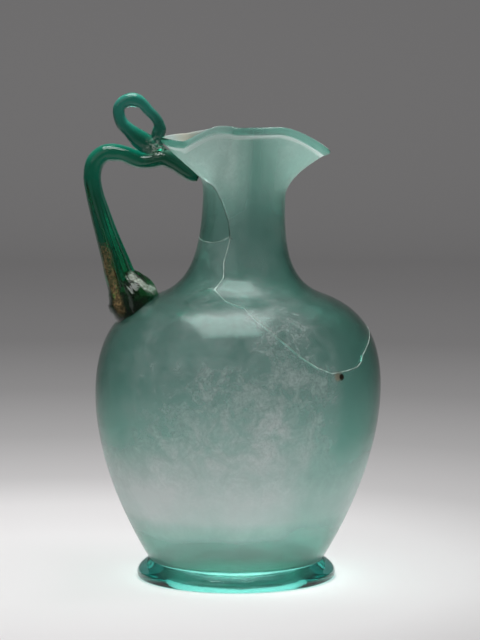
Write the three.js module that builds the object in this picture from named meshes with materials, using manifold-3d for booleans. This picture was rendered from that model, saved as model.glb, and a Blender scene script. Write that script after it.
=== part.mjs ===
// A blown-glass wine jug with a pinched, three-lobed mouth.
// It stands on an applied foot ring. Its fluted handle springs from a claw on the shoulder,
// is pressed along the underside of the mouth, and folds up into a thumb loop above the rim.
// The vessel wall is mended: two clean breaks divide it into three fragments.
// Millimetres. +Z is up, +X points along the spout, and the handle is at -X.

import * as THREE from 'three';
import { mergeVertices } from 'three/addons/utils/BufferGeometryUtils.js';
import Module from 'manifold-3d';

const wasm = await Module();
wasm.setup();

// Sizes of the blown vessel, from the table up
const BASE_HEIGHT = 4.8;
const BASE_RADIUS = 33;
const KICK_HEIGHT = 8;
const SEAM_RADIUS = 43.7;
const SEAM_HEIGHT = 9.3;
const BODY_RADIUS = 71.8;
const BELLY_HEIGHT = 94.9;
const SHOULDER_RADIUS = 42;
const SHOULDER_HEIGHT = 142.9;
const NECK_RADIUS = 20.65;
const NECK_HEIGHT = 191.9;
const NECK_LEAN = 4.1;

// Sizes of the mouth, at the rim. The near side of the rim stands a little higher than the far
// side, and beside the handle it dips on the near side and rises on the far side.
const SPOUT_REACH = 41.2;
const SPOUT_HEIGHT = 213.1;
const PINCH_REACH = 18;
const LOBE_REACH = 37.5;
const BACK_REACH = 42.8;
const BACK_HEIGHT = 219.6;
const BACK_DIP = 1.2;
const RIM_HEIGHT = 224.5;
const RIM_ROLL = 1;
const LOBE_PEAK = 1;
const RIM_THICKNESS = 2.8;

// Thickness of the wall
const BASE_WALL = 5.5;
const BASE_EDGE_WALL = 4.1;
const HEEL_WALL = 2.8;
const BODY_WALL = 2;
const NECK_WALL = 2.2;

// Sizes of the foot ring
const FOOT_RADIUS = 50.1;
const FOOT_EDGE_HEIGHT = 2.8;
const FOOT_EDGE_ROUND = 1.9;
const FOOT_REST_WIDTH = 7;
const FOOT_INNER_RADIUS = 32;

// Clearances
const SEAT_GAP = 0.3;
const BREAK_GAP = 0.3;
const WELD = 0.004;

// Directions round the mouth, in degrees from the spout
const SPOUT_SIDE_ANGLE = 58;
const RIM_ANGLE = 104;
const PINCH_ANGLE = 114;
const LOBE_PEAK_ANGLE = 126;
const LOBE_ANGLE = 148;
const BACK_ANGLE = 150;

// Curve pulls, as shares of the stretch that they shape, and slopes in degrees
const KICK_PULL = 0.42;
const BASE_PULL = 0.4;
const HEEL_ROUND = 0.85;
const HEEL_SLOPE = 58.6;
const HEEL_PULL = 0.29;
const BELLY_PULL_DOWN = 0.37;
const BELLY_PULL_UP = 0.58;
const SHOULDER_SLOPE = 19.5;
const SHOULDER_PULL_OUT = 0.67;
const SHOULDER_PULL_IN = 0.78;
const NECK_PULL_DOWN = 0.616;
const NECK_PULL_UP = 0.45;
const SPOUT_SLOPE = 22;
const SPOUT_PULL = 0.25;
const PINCH_SLOPE = 85;
const PINCH_PULL = 0.4;
const BACK_SLOPE = 44;
const BACK_PULL = 0.75;
const FOOT_EDGE_PULL = 0.75;
const FOOT_TOP_PULL_OUT = 0.33;
const FOOT_TOP_PULL_IN = 0.66;

// Facets
const COLUMNS = 40;
const BASE_STEPS = 4;
const HEEL_STEPS = 2;
const LOWER_STEPS = 7;
const UPPER_STEPS = 6;
const NECK_STEPS = 6;
const MOUTH_STEPS = 6;
const LIP_STEPS = 3;
const FOOT_EDGE_STEPS = 3;
const FOOT_TOP_STEPS = 4;

const toRadians = THREE.MathUtils.degToRad;

// An eased blend through [angle, value] keys, level at each key
function eased(keys, angle) {
  const next = keys.findIndex(([a]) => a >= angle);
  if (next <= 0) return keys[0][1];
  const [a0, v0] = keys[next - 1];
  const [a1, v1] = keys[next];
  return THREE.MathUtils.lerp(v0, v1, THREE.MathUtils.smoothstep(angle, a0, a1));
}

// The rim's distance from the axis, its height, and the wall's slope and pull there. The near
// side, at -Y, has the negative angles.
const REACH_KEYS = [
  [0, SPOUT_REACH], [PINCH_ANGLE, PINCH_REACH], [LOBE_ANGLE, LOBE_REACH], [180, BACK_REACH],
];
const HEIGHT_KEYS = [
  [-180, BACK_HEIGHT], [-BACK_ANGLE, BACK_HEIGHT - BACK_DIP],
  [-LOBE_PEAK_ANGLE, RIM_HEIGHT + RIM_ROLL + LOBE_PEAK], [-RIM_ANGLE, RIM_HEIGHT + RIM_ROLL],
  [-SPOUT_SIDE_ANGLE, RIM_HEIGHT + RIM_ROLL], [0, SPOUT_HEIGHT],
  [SPOUT_SIDE_ANGLE, RIM_HEIGHT - RIM_ROLL], [RIM_ANGLE, RIM_HEIGHT - RIM_ROLL],
  [LOBE_PEAK_ANGLE, RIM_HEIGHT - RIM_ROLL + LOBE_PEAK / 2], [BACK_ANGLE, BACK_HEIGHT + BACK_DIP],
  [180, BACK_HEIGHT],
];
const SLOPE_KEYS = [[0, SPOUT_SLOPE], [PINCH_ANGLE, PINCH_SLOPE], [180, BACK_SLOPE]];
const PULL_KEYS = [[0, SPOUT_PULL], [PINCH_ANGLE, PINCH_PULL], [180, BACK_PULL]];

// An azimuth in radians as an angle from the spout in degrees, from -180 to 180
function fromSpout(azimuth) {
  return THREE.MathUtils.radToDeg(Math.atan2(Math.sin(azimuth), Math.cos(azimuth)));
}

function bezier(a, b, c, d) {
  return new THREE.CubicBezierCurve(a, b, c, d);
}

// The outer outline at one azimuth: stretches with a curve, a step count and the wall at both ends
function outlineStretches(azimuth) {
  const P = (r, z) => new THREE.Vector2(r, z);
  const along = (from, degrees, length) => P(
    from.x + length * Math.cos(toRadians(degrees)),
    from.y + length * Math.sin(toRadians(degrees)),
  );
  const centre = P(0, KICK_HEIGHT);
  const base = P(BASE_RADIUS, BASE_HEIGHT);
  const seam = P(SEAM_RADIUS, SEAM_HEIGHT);
  const belly = P(BODY_RADIUS, BELLY_HEIGHT);
  const shoulder = P(SHOULDER_RADIUS, SHOULDER_HEIGHT);
  const neck = P(NECK_RADIUS, NECK_HEIGHT);
  const angle = fromSpout(azimuth);
  const away = Math.abs(angle);
  const rim = P(eased(REACH_KEYS, away), eased(HEIGHT_KEYS, angle));

  const lower = belly.y - seam.y;
  const upper = shoulder.y - belly.y;
  const root = neck.y - shoulder.y;
  const rise = rim.y - neck.y;
  const lipPull = eased(PULL_KEYS, away) * rim.distanceTo(neck);
  const heelPull = (seam.y - base.y) * HEEL_ROUND;

  return [
    [bezier(centre, P(base.x * KICK_PULL, centre.y), P(base.x * (1 - BASE_PULL), base.y), base),
      BASE_STEPS, BASE_WALL, BASE_EDGE_WALL],
    [bezier(base, P((base.x + seam.x) / 2, base.y), along(seam, HEEL_SLOPE, -heelPull), seam),
      HEEL_STEPS, BASE_EDGE_WALL, HEEL_WALL],
    [bezier(seam, along(seam, HEEL_SLOPE, HEEL_PULL * lower),
      P(belly.x, belly.y - BELLY_PULL_DOWN * lower), belly), LOWER_STEPS, HEEL_WALL, BODY_WALL],
    [bezier(belly, P(belly.x, belly.y + BELLY_PULL_UP * upper),
      along(shoulder, -SHOULDER_SLOPE, SHOULDER_PULL_OUT * (belly.x - shoulder.x)), shoulder),
    UPPER_STEPS, BODY_WALL, BODY_WALL],
    [bezier(shoulder, along(shoulder, -SHOULDER_SLOPE, -SHOULDER_PULL_IN * (shoulder.x - neck.x)),
      P(neck.x, neck.y - NECK_PULL_DOWN * root), neck), NECK_STEPS, BODY_WALL, NECK_WALL],
    [bezier(neck, P(neck.x, neck.y + NECK_PULL_UP * rise),
      along(rim, eased(SLOPE_KEYS, away), -lipPull), rim), MOUTH_STEPS, NECK_WALL, RIM_THICKNESS],
  ];
}

// Points of the outer outline at one azimuth, with the outward normal and the wall there
function outline(azimuth) {
  const points = [];
  for (const [curve, steps, wallFrom, wallTo] of outlineStretches(azimuth)) {
    const first = points.length === 0 ? 0 : 1;
    for (let i = first; i <= steps; i++) {
      const t = i / steps;
      const p = curve.getPoint(t);
      const tangent = curve.getTangent(t);
      const normal = new THREE.Vector2(tangent.y, -tangent.x);
      points.push({ p, normal, wall: THREE.MathUtils.lerp(wallFrom, wallTo, t) });
    }
  }
  return points;
}

// The axis of the jug leans a little towards the spout as it rises
function leanAt(height) {
  return NECK_LEAN * (height / NECK_HEIGHT) ** 2;
}

function place(radius, height, azimuth) {
  return new THREE.Vector3(
    leanAt(height) + radius * Math.cos(azimuth),
    radius * Math.sin(azimuth),
    height,
  );
}

// A closed mesh from rings of points. Its ends are closed by one point each, and without ends
// the last ring joins the first. Sides named in flipped are split along their other diagonal.
function skin(rings, ends = [], flipped = []) {
  const count = rings[0].length;
  const positions = [...rings.flat(), ...ends];
  const index = [];
  const joins = ends.length > 0 ? rings.length - 1 : rings.length;
  for (let i = 0; i < joins; i++) {
    const here = i * count;
    const next = ((i + 1) % rings.length) * count;
    for (let j = 0; j < count; j++) {
      const k = (j + 1) % count;
      if (flipped.includes(j)) index.push(here + j, here + k, next + j, here + k, next + k, next + j);
      else index.push(here + j, here + k, next + k, here + j, next + k, next + j);
    }
  }
  if (ends.length > 0) {
    const start = positions.length - 2;
    const end = positions.length - 1;
    const last = (rings.length - 1) * count;
    for (let j = 0; j < count; j++) {
      const k = (j + 1) % count;
      index.push(start, k, j, last + j, last + k, end);
    }
  }
  const geometry = new THREE.BufferGeometry().setFromPoints(positions);
  geometry.setIndex(index);
  return geometry;
}

// Solids for joining and cutting
function toSolid(source) {
  const bare = source.clone();
  bare.deleteAttribute('normal');
  bare.deleteAttribute('uv');
  const merged = mergeVertices(bare, 1e-5);
  const solid = new wasm.Manifold(new wasm.Mesh({
    numProp: 3,
    vertProperties: new Float32Array(merged.attributes.position.array),
    triVerts: new Uint32Array(merged.index.array),
  }));
  if (solid.volume() > 0) return solid;
  throw new Error('a surface faces inwards');
}

// The geometry of a solid, with points closer than the weld joined and flat triangles dropped
function toGeometry(solid) {
  const mesh = solid.getMesh();
  const raw = new THREE.BufferGeometry();
  raw.setAttribute('position', new THREE.BufferAttribute(new Float32Array(mesh.vertProperties), 3));
  raw.setIndex(new THREE.BufferAttribute(new Uint32Array(mesh.triVerts), 1));
  const geometry = mergeVertices(raw, WELD);
  const kept = [];
  const index = geometry.index.array;
  for (let i = 0; i < index.length; i += 3) {
    const [a, b, c] = index.slice(i, i + 3);
    if (a !== b && b !== c && c !== a) kept.push(a, b, c);
  }
  geometry.setIndex(kept);
  geometry.computeVertexNormals();
  return geometry;
}

// The columns of the vessel: each is the outline at one azimuth
const columns = Array.from({ length: COLUMNS }, (_, j) => {
  const azimuth = 2 * Math.PI * j / COLUMNS;
  return { azimuth, points: outline(azimuth) };
});

// Rings over the rounded rim, from just past its outer edge to just short of its inner edge
function lipRings(growth) {
  return Array.from({ length: LIP_STEPS }, (_, i) => {
    const turn = Math.PI * (i + 1) / (LIP_STEPS + 1);
    return columns.map(({ azimuth, points }) => {
      const { p, normal, wall } = points.at(-1);
      const up = new THREE.Vector2(-normal.y, normal.x);
      const radius = wall / 2 + growth;
      const lip = p.clone()
        .addScaledVector(normal, radius * Math.cos(turn) - wall / 2)
        .addScaledVector(up, radius * Math.sin(turn));
      return place(lip.x, lip.y, azimuth);
    });
  });
}

// The wall as one shell: up the outside, over the rounded rim, and down the inside
function vesselWall() {
  const rows = columns[0].points.length;
  const rings = [];
  for (let i = 1; i < rows; i++) {
    rings.push(columns.map(({ azimuth, points }) => place(points[i].p.x, points[i].p.y, azimuth)));
  }
  rings.push(...lipRings(0));
  for (let i = rows - 1; i > 0; i--) {
    rings.push(columns.map(({ azimuth, points }) => {
      const { p, normal, wall } = points[i];
      return place(p.x - normal.x * wall, p.y - normal.y * wall, azimuth);
    }));
  }
  const bottom = place(0, KICK_HEIGHT, 0);
  const floor = place(0, KICK_HEIGHT + BASE_WALL, 0);
  return toSolid(skin(rings, [bottom, floor]));
}

// The space that the vessel takes, its hollow filled, grown by a clearance
function filledVessel(clearance) {
  const rows = columns[0].points.length;
  const rings = [];
  for (let i = 1; i < rows; i++) {
    rings.push(columns.map(({ azimuth, points }) => {
      const { p, normal } = points[i];
      return place(p.x + normal.x * clearance, p.y + normal.y * clearance, azimuth);
    }));
  }
  rings.push(...lipRings(clearance));
  const bottom = place(0, KICK_HEIGHT - clearance, 0);
  const lid = place(0, BACK_HEIGHT, 0);
  return toSolid(skin(rings, [bottom, lid]));
}

// The foot ring: a spread collar with a rounded edge, whose seat follows the underside of the body
function footRing() {
  const seat = outline(0)
    .slice(1, BASE_STEPS + HEEL_STEPS + 1)
    .map(({ p, normal }) => p.clone().addScaledVector(normal, SEAT_GAP))
    .filter((p) => p.x > FOOT_INNER_RADIUS)
    .reverse();
  const rest = new THREE.Vector2(FOOT_RADIUS - FOOT_EDGE_ROUND, 0);
  const edge = new THREE.Vector2(FOOT_RADIUS, FOOT_EDGE_HEIGHT);
  const top = seat[0];
  const spread = edge.x - top.x;
  const height = top.y - edge.y;
  const under = bezier(
    rest, new THREE.Vector2(rest.x + FOOT_EDGE_PULL * FOOT_EDGE_ROUND, 0),
    new THREE.Vector2(edge.x, edge.y * (1 - FOOT_EDGE_PULL)), edge,
  );
  const over = bezier(
    edge, new THREE.Vector2(edge.x, edge.y + FOOT_TOP_PULL_OUT * height),
    new THREE.Vector2(top.x + FOOT_TOP_PULL_IN * spread, top.y - FOOT_TOP_PULL_OUT * height), top,
  );
  const section = [
    new THREE.Vector2(rest.x - FOOT_REST_WIDTH, 0),
    ...under.getPoints(FOOT_EDGE_STEPS),
    ...over.getPoints(FOOT_TOP_STEPS).slice(1),
    ...seat.slice(1),
  ];
  section.push(section[0].clone());
  return toSolid(new THREE.LatheGeometry(section, COLUMNS).rotateX(Math.PI / 2));
}

// Grooves along a rod, as shares of their full depth by the angle from the rod's inner side
const GROOVE_KEYS = [
  [0, 0], [22.5, 0.5], [45, 0], [67.5, 0.6], [90, 0], [112.5, 1], [145, 0], [180, 0],
];

// A drawn rod of glass. Each point is [x, z, half thickness, half breadth, groove depth].
function drawnRod(points, { steps, sides, from = 0, to = 1, growth = 0 }) {
  const path = new THREE.CatmullRomCurve3(points.map(([x, z]) => new THREE.Vector3(x, 0, z)));
  const shape = new THREE.CatmullRomCurve3(points.map((p) => new THREE.Vector3(p[2], p[3], p[4])));
  const rings = [];
  for (let i = 0; i <= steps; i++) {
    const t = THREE.MathUtils.lerp(from, to, i / steps);
    const centre = path.getPoint(t);
    const tangent = path.getTangent(t);
    const across = new THREE.Vector3(tangent.z, 0, -tangent.x);
    const { x: half, y: breadth, z: depth } = shape.getPoint(t);
    rings.push(Array.from({ length: sides }, (_, j) => {
      const turn = 2 * Math.PI * j / sides;
      const groove = 1 - depth * eased(GROOVE_KEYS, Math.abs(fromSpout(turn)));
      return centre.clone()
        .addScaledVector(across, (half + growth) * groove * Math.cos(turn))
        .add(new THREE.Vector3(0, (breadth + growth) * groove * Math.sin(turn), 0));
    }));
  }
  return toSolid(skin(rings, [path.getPoint(from), path.getPoint(to)]));
}

// Breaks in the wall. Each point is an azimuth in degrees and a share of the neck's height.
const SHOULDER_BREAK = [
  [-106, 0.906], [-111.5, 0.839], [-108.5, 0.801], [-113.5, 0.772], [-101, 0.748], [-88, 0.734],
  [-78, 0.689], [-70, 0.649], [-64, 0.616], [-57, 0.587], [-50, 0.569], [-41.5, 0.572],
  [-34.5, 0.577], [-30, 0.589], [-28, 0.604], [-22, 0.62], [-11, 0.642], [6, 0.662],
  [28, 0.681], [52, 0.71], [80, 0.736], [106, 0.763], [130, 0.806], [150, 0.858],
  [168, 0.89], [186, 0.896], [204, 0.889], [226, 0.886], [242, 0.892], [254, 0.906],
];
const NECK_BREAK = [
  [-102.5, 0.897], [-106, 0.908], [-111, 0.944], [-121, 0.986], [-130, 1.014], [-138, 1.032],
  [-157, 1.055], [-180, 1.065], [-204, 1.05], [-218, 1.007], [-222, 0.959], [-214, 0.911],
  [-206, 0.839],
];
const BREAK_DEPTH = 4;
const BLADE_BACK = 3;
const BREAK_STEP = 0.25;

// The point of the outer wall at an azimuth and a height, with its normal
function wallAt(azimuth, height) {
  const stretches = outlineStretches(azimuth).slice(2);
  const found = stretches.find(([curve]) => curve.getPoint(1).y >= height) ?? stretches.at(-1);
  const curve = found[0];
  let low = 0;
  let high = 1;
  for (let i = 0; i < 30; i++) {
    const middle = (low + high) / 2;
    if (curve.getPoint(middle).y < height) low = middle;
    else high = middle;
  }
  const p = curve.getPoint(low);
  const tangent = curve.getTangent(low);
  const normal = new THREE.Vector3(
    tangent.y * Math.cos(azimuth), tangent.y * Math.sin(azimuth), -tangent.x,
  ).normalize();
  return { point: place(p.x, p.y, azimuth), normal };
}

// A thin blade that stands square to the wall along a break
function breakBlade(points, closed) {
  const onBreak = (degrees, share) => wallAt(toRadians(degrees), share * NECK_HEIGHT);
  const segments = points.length - 1;
  const path = [];
  for (let i = 0; i < segments; i++) {
    const [[a0, h0], [a1, h1]] = [points[i], points[i + 1]];
    for (let s = 0; s < 1; s += BREAK_STEP) {
      path.push(onBreak(THREE.MathUtils.lerp(a0, a1, s), THREE.MathUtils.lerp(h0, h1, s)));
    }
  }
  if (!closed) path.push(onBreak(...points.at(-1)));
  const count = path.length;
  const rings = path.map(({ point, normal }, i) => {
    const before = path[closed ? (i + count - 1) % count : Math.max(i - 1, 0)].point;
    const after = path[closed ? (i + 1) % count : Math.min(i + 1, count - 1)].point;
    const side = after.clone().sub(before).cross(normal).normalize().multiplyScalar(BREAK_GAP / 2);
    const outer = point.clone().addScaledVector(normal, BREAK_DEPTH);
    const inner = point.clone().addScaledVector(normal, -BREAK_DEPTH);
    return [
      outer.clone().sub(side), outer.clone().add(side), inner.clone().add(side), inner.clone().sub(side),
    ];
  });
  const ends = closed ? [] : [path[0].point, path.at(-1).point];
  return toSolid(skin(rings, ends, [BLADE_BACK]));
}

// The three fragments of the wall, largest first
function wallFragments() {
  const blades = breakBlade(SHOULDER_BREAK, true).add(breakBlade(NECK_BREAK, false));
  return vesselWall().subtract(blades).decompose()
    .sort((a, b) => b.volume() - a.volume())
    .slice(0, 3);
}

// The handle is seated on the shoulder and on the back of the mouth
const shoulderSeat = wallAt(Math.PI, SHOULDER_HEIGHT).point;
const mouthSeat = wallAt(Math.PI, BACK_HEIGHT).point;

// The strap of the handle, from inside the shoulder up and over. Each point is how far out it
// lies from the line between the seats, its share of the rise between them, and the rod's form.
const STRAP_POINTS = [
  [7.3, -0.189, 10, 20, 0.05],
  [9.5, -0.13, 11.5, 21.5, 0.05],
  [11.1, -0.065, 13, 20, 0.06],
  [12.9, 0, 12.6, 17.5, 0.08],
  [15.7, 0.059, 10.3, 14.5, 0.14],
  [18.5, 0.117, 7.9, 12.3, 0.22],
  [20.9, 0.209, 7, 10.8, 0.26],
  [23.8, 0.313, 6.2, 9.6, 0.26],
  [26.8, 0.424, 5.5, 8.2, 0.22],
  [29.9, 0.548, 4.9, 7.2, 0.15],
  [32.6, 0.665, 4.4, 6.6, 0.1],
  [34, 0.776, 4.4, 6.3, 0.05],
  [32.5, 0.868, 4.6, 6.2, 0.03],
  [28.2, 0.92, 4.4, 6.2, 0.02],
  [22.9, 0.927, 4.4, 6.2, 0.02],
  [18.2, 0.918, 4.1, 6.2, 0.02],
  [13.7, 0.893, 4.35, 6.3, 0.02],
  [9.3, 0.874, 4.1, 6.4, 0.02],
  [4.8, 0.877, 4.2, 6.6, 0.02],
];

// Its tail, pressed on the mouth. Each point is a share of the rise from the neck to the rim,
// how far it stands off the wall, and the rod's form.
const TAIL_POINTS = [
  [0.845, 5.3, 4.5, 7, 0.02],
  [0.69, 3.2, 4.1, 7, 0.02],
  [0.57, 2.75, 3.8, 6.8, 0.02],
  [0.45, 2.1, 3.5, 6.2, 0.02],
  [0.35, 0.6, 2, 4, 0.02],
];
const HANDLE_FORM = { steps: 42, sides: 32 };

function handlePath() {
  const strap = STRAP_POINTS.map(([out, share, ...form]) => {
    const { x, z } = new THREE.Vector3().lerpVectors(shoulderSeat, mouthSeat, share);
    return [x - out, z, ...form];
  });
  const tail = TAIL_POINTS.map(([share, off, ...form]) => {
    const { point, normal } = wallAt(Math.PI, THREE.MathUtils.lerp(NECK_HEIGHT, BACK_HEIGHT, share));
    return [point.x + normal.x * off, point.z + normal.z * off, ...form];
  });
  return [...strap, ...tail];
}

// The thumb loop: it rises from the tail, turns over and comes down onto the rim. Each point is
// how far out and how far up it lies from the seat on the mouth, and the rod's form.
const LOOP_POINTS = [
  [-3.6, -10, 2.2, 3.4, 0],
  [-0.9, -8, 4.6, 5.2, 0],
  [4.1, -3.8, 4.8, 5.2, 0],
  [7.4, -1.3, 5, 5.2, 0],
  [10.8, 1.1, 4.8, 5, 0],
  [13.6, 3.5, 4.1, 4.6, 0],
  [16.6, 6.2, 3.4, 4, 0],
  [19, 8.5, 3.25, 3.7, 0],
  [20.7, 12.1, 3, 3.5, 0],
  [21, 16.3, 3, 3.3, 0],
  [19.5, 18.8, 3.1, 3.3, 0],
  [17.1, 20.3, 3.3, 3.4, 0],
  [14.3, 20.8, 3.5, 3.5, 0],
  [11.2, 20, 3.3, 3.5, 0],
  [8.8, 18.3, 2.8, 3.4, 0],
  [6.3, 15.4, 2.7, 3.4, 0],
  [2.9, 11.9, 2.6, 3.4, 0],
  [1.1, 8.8, 2.7, 3.5, 0],
  [0.8, 5.9, 3.4, 3.8, 0],
  [1.6, 2.9, 3.4, 4, 0],
  [2.4, -2.7, 3.2, 3.8, 0],
];
const LOOP_FORM = { steps: 20, sides: 12 };

// The loop is drawn in two halves, because its ends meet inside the junction
function thumbLoop() {
  const path = LOOP_POINTS.map(([out, up, ...form]) => [mouthSeat.x - out, mouthSeat.z + up, ...form]);
  return drawnRod(path, { ...LOOP_FORM, to: 0.5 }).add(drawnRod(path, { ...LOOP_FORM, from: 0.5 }));
}

const GLASS = { color: 0x5f9a88, roughness: 0.45, metalness: 0 };
const CLEAR_GLASS = { color: 0x1f7a5c, roughness: 0.12, metalness: 0 };
const DEEP_GLASS = { color: 0x0b5a40, roughness: 0.1, metalness: 0 };

function named(name, solid, look) {
  const mesh = new THREE.Mesh(toGeometry(solid), new THREE.MeshStandardMaterial(look));
  mesh.name = name;
  return mesh;
}

const [body, neckAndMouth, neckFragment] = wallFragments();
const vesselSpace = filledVessel(SEAT_GAP);
const handle = drawnRod(handlePath(), HANDLE_FORM).subtract(vesselSpace);
const handleSpace = drawnRod(handlePath(), { ...HANDLE_FORM, growth: SEAT_GAP });
const loop = thumbLoop().subtract(handleSpace.add(vesselSpace));

const jug = new THREE.Group();
jug.add(
  named('body', body, GLASS),
  named('neck_and_mouth', neckAndMouth, GLASS),
  named('neck_fragment', neckFragment, GLASS),
  named('foot_ring', footRing(), CLEAR_GLASS),
  named('handle', handle, DEEP_GLASS),
  named('thumb_loop', loop, DEEP_GLASS),
);

// The origin is the centre of the bounding box, on the table
const centre = new THREE.Box3().setFromObject(jug).getCenter(new THREE.Vector3());
jug.position.set(-centre.x, -centre.y, 0);

export default jug;
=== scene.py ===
import math

import bpy
import numpy as np
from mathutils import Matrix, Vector


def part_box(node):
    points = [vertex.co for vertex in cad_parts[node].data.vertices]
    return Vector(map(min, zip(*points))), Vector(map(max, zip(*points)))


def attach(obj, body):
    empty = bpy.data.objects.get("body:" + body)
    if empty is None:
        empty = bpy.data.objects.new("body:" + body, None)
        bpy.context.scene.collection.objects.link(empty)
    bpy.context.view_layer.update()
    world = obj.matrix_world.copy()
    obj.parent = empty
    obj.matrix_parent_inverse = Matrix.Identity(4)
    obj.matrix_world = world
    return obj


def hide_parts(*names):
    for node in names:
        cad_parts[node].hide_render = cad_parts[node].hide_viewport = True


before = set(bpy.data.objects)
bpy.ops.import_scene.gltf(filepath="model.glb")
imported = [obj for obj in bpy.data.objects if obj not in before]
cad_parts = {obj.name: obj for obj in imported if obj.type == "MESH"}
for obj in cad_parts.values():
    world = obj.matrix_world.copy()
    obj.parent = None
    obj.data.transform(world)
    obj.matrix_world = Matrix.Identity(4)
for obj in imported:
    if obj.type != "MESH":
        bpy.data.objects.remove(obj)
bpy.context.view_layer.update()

# Driving sizes of the jug, in metres, as in the construction
MM = 0.001
BASE_HEIGHT = 4.8 * MM
BASE_RADIUS = 33 * MM
KICK_HEIGHT = 8 * MM
SEAM_RADIUS = 43.7 * MM
SEAM_HEIGHT = 9.3 * MM
BODY_RADIUS = 71.8 * MM
BELLY_HEIGHT = 94.9 * MM
SHOULDER_RADIUS = 42 * MM
SHOULDER_HEIGHT = 142.9 * MM
NECK_RADIUS = 20.65 * MM
NECK_HEIGHT = 191.9 * MM
NECK_LEAN = 4.1 * MM
SPOUT_REACH = 41.2 * MM
SPOUT_HEIGHT = 213.1 * MM
PINCH_REACH = 18 * MM
LOBE_REACH = 37.5 * MM
BACK_REACH = 42.8 * MM
BACK_HEIGHT = 219.6 * MM
BACK_DIP = 1.2 * MM
RIM_HEIGHT = 224.5 * MM
RIM_ROLL = 1 * MM
LOBE_PEAK = 1 * MM
RIM_THICKNESS = 2.8 * MM
BASE_WALL = 5.5 * MM
BASE_EDGE_WALL = 4.1 * MM
HEEL_WALL = 2.8 * MM
BODY_WALL = 2 * MM
NECK_WALL = 2.2 * MM
FOOT_RADIUS = 50.1 * MM
FOOT_EDGE_HEIGHT = 2.8 * MM
FOOT_EDGE_ROUND = 1.9 * MM
FOOT_REST_WIDTH = 7 * MM
FOOT_INNER_RADIUS = 32 * MM

# Clearances in the dressed model, and the shallow groove under the rim's roll
SEAT_GAP = 0.08 * MM
BREAK_GAP = 0.12 * MM
GROOVE_DEPTH = 0.35 * MM
GROOVE_START = 1.92 * MM
GROOVE_FROM = 2.4 * MM
GROOVE_TO = 9 * MM

# Directions round the mouth, in degrees from the spout
SPOUT_SIDE_ANGLE = 58
RIM_ANGLE = 104
PINCH_ANGLE = 114
LOBE_PEAK_ANGLE = 126
LOBE_ANGLE = 148
BACK_ANGLE = 150

# Slopes in degrees and pulls as shares, as in the construction
KICK_PULL = 0.42
BASE_PULL = 0.4
HEEL_ROUND = 0.85
HEEL_SLOPE = 58.6
HEEL_PULL = 0.29
BELLY_PULL_DOWN = 0.37
BELLY_PULL_UP = 0.58
SHOULDER_SLOPE = 19.5
SHOULDER_PULL_OUT = 0.67
SHOULDER_PULL_IN = 0.78
NECK_PULL_DOWN = 0.616
NECK_PULL_UP = 0.45
SPOUT_SLOPE = 22
SPOUT_PULL = 0.25
PINCH_SLOPE = 85
PINCH_PULL = 0.4
BACK_SLOPE = 44
BACK_PULL = 0.75
FOOT_EDGE_PULL = 0.75
FOOT_TOP_PULL_OUT = 0.33
FOOT_TOP_PULL_IN = 0.66

# Mesh fineness
COLUMNS = 192
STRETCH_STEPS = (8, 6, 28, 24, 18, 40)
LIP_STEPS = 7
FOOT_STEPS = 10
HANDLE_FINENESS = (280, 128)
LOOP_FINENESS = (100, 56)
SWEEP_STEPS = 16
SMOOTH_ANGLE = 38

# The construction's origin is the centre of its bounding box. Its foot ring gives the jug's axis.
foot_low, foot_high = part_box("foot_ring")
AXIS_X = (foot_low[0] + foot_high[0]) / 2


def lerp(a, b, t):
    return a + (b - a) * t


def eased(keys, angle):
    """An eased blend through (angle, value) keys, level at each key."""
    for (a0, v0), (a1, v1) in zip(keys, keys[1:]):
        if angle <= a1:
            t = min(max((angle - a0) / (a1 - a0), 0), 1)
            return lerp(v0, v1, t * t * (3 - 2 * t))
    return keys[-1][1]


REACH_KEYS = ((0, SPOUT_REACH), (PINCH_ANGLE, PINCH_REACH), (LOBE_ANGLE, LOBE_REACH), (180, BACK_REACH))
HEIGHT_KEYS = (
    (-180, BACK_HEIGHT), (-BACK_ANGLE, BACK_HEIGHT - BACK_DIP),
    (-LOBE_PEAK_ANGLE, RIM_HEIGHT + RIM_ROLL + LOBE_PEAK), (-RIM_ANGLE, RIM_HEIGHT + RIM_ROLL),
    (-SPOUT_SIDE_ANGLE, RIM_HEIGHT + RIM_ROLL), (0, SPOUT_HEIGHT),
    (SPOUT_SIDE_ANGLE, RIM_HEIGHT - RIM_ROLL), (RIM_ANGLE, RIM_HEIGHT - RIM_ROLL),
    (LOBE_PEAK_ANGLE, RIM_HEIGHT - RIM_ROLL + LOBE_PEAK / 2), (BACK_ANGLE, BACK_HEIGHT + BACK_DIP),
    (180, BACK_HEIGHT),
)
SLOPE_KEYS = ((0, SPOUT_SLOPE), (PINCH_ANGLE, PINCH_SLOPE), (180, BACK_SLOPE))
PULL_KEYS = ((0, SPOUT_PULL), (PINCH_ANGLE, PINCH_PULL), (180, BACK_PULL))


def along(start, degrees, length):
    a = math.radians(degrees)
    return np.array((start[0] + length * math.cos(a), start[1] + length * math.sin(a)))


def from_spout(azimuth):
    """An azimuth in radians as degrees from the spout, from -180 to 180."""
    return math.degrees(math.atan2(math.sin(azimuth), math.cos(azimuth)))


def rim_at(azimuth):
    """Radius and height of the rim at an azimuth."""
    angle = from_spout(azimuth)
    return np.array((eased(REACH_KEYS, abs(angle)), eased(HEIGHT_KEYS, angle)))


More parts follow.
